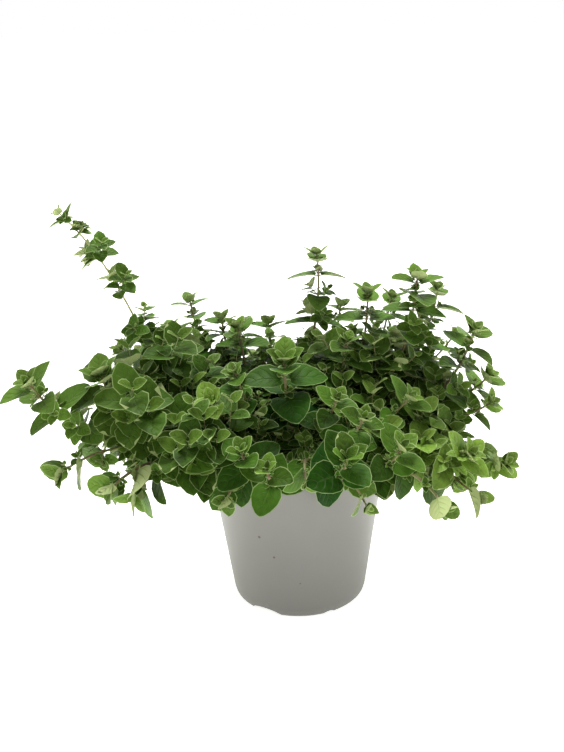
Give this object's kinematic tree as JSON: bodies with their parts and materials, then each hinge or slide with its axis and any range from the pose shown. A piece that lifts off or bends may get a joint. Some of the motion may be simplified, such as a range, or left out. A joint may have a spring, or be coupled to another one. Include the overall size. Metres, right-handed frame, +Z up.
{
  "type": "potted oregano",
  "caption": "Potted oregano: a low, spreading bush of leafy square stems rooted in soil, in a light grey plastic nursery pot with a drained base.",
  "frame": {"origin": "middle of the pot's base, on the flat pad that stands on the surface", "axes": "+Z up; +X towards the picture's right, along the bush's longest spread; -Y towards the viewer"},
  "size_m": [0.3428, 0.2511, 0.291],
  "materials": {
    "pot_plastic": "light grey moulded plastic, softly satin",
    "potting_soil": "dark brown, crumbly and dull",
    "oregano_leaf": "soft, faintly downy green leaf on purple-brown stem"
  },
  "bodies": {
    "root": {"pot": "pot_plastic", "potting_soil": "potting_soil", "leafy_stem_01": "oregano_leaf", "leafy_stem_02": "oregano_leaf", "leafy_stem_03": "oregano_leaf", "leafy_stem_04": "oregano_leaf", "leafy_stem_05": "oregano_leaf", "leafy_stem_06": "oregano_leaf", "leafy_stem_07": "oregano_leaf", "leafy_stem_08": "oregano_leaf", "leafy_stem_09": "oregano_leaf", "leafy_stem_10": "oregano_leaf", "leafy_stem_11": "oregano_leaf", "leafy_stem_12": "oregano_leaf", "leafy_stem_13": "oregano_leaf", "leafy_stem_14": "oregano_leaf", "leafy_stem_15": "oregano_leaf", "leafy_stem_16": "oregano_leaf", "leafy_stem_17": "oregano_leaf", "leafy_stem_18": "oregano_leaf", "leafy_stem_19": "oregano_leaf", "leafy_stem_20": "oregano_leaf", "leafy_stem_21": "oregano_leaf", "leafy_stem_22": "oregano_leaf", "leafy_stem_23": "oregano_leaf", "leafy_stem_24": "oregano_leaf", "leafy_stem_25": "oregano_leaf", "leafy_stem_26": "oregano_leaf", "leafy_stem_27": "oregano_leaf", "leafy_stem_28": "oregano_leaf", "leafy_stem_29": "oregano_leaf", "leafy_stem_30": "oregano_leaf", "leafy_stem_31": "oregano_leaf", "leafy_stem_32": "oregano_leaf", "leafy_stem_33": "oregano_leaf", "leafy_stem_34": "oregano_leaf", "leafy_stem_35": "oregano_leaf", "leafy_stem_36": "oregano_leaf", "leafy_stem_37": "oregano_leaf", "leafy_stem_38": "oregano_leaf", "leafy_stem_39": "oregano_leaf", "leafy_stem_40": "oregano_leaf", "leafy_stem_41": "oregano_leaf", "leafy_stem_42": "oregano_leaf", "leafy_stem_43": "oregano_leaf", "leafy_stem_44": "oregano_leaf", "leafy_stem_45": "oregano_leaf", "leafy_stem_46": "oregano_leaf", "leafy_stem_47": "oregano_leaf", "leafy_stem_48": "oregano_leaf", "leafy_stem_49": "oregano_leaf", "leafy_stem_50": "oregano_leaf", "leafy_stem_51": "oregano_leaf", "leafy_stem_52": "oregano_leaf", "leafy_stem_53": "oregano_leaf", "leafy_stem_54": "oregano_leaf", "leafy_stem_55": "oregano_leaf"}
  },
  "joints": []
}
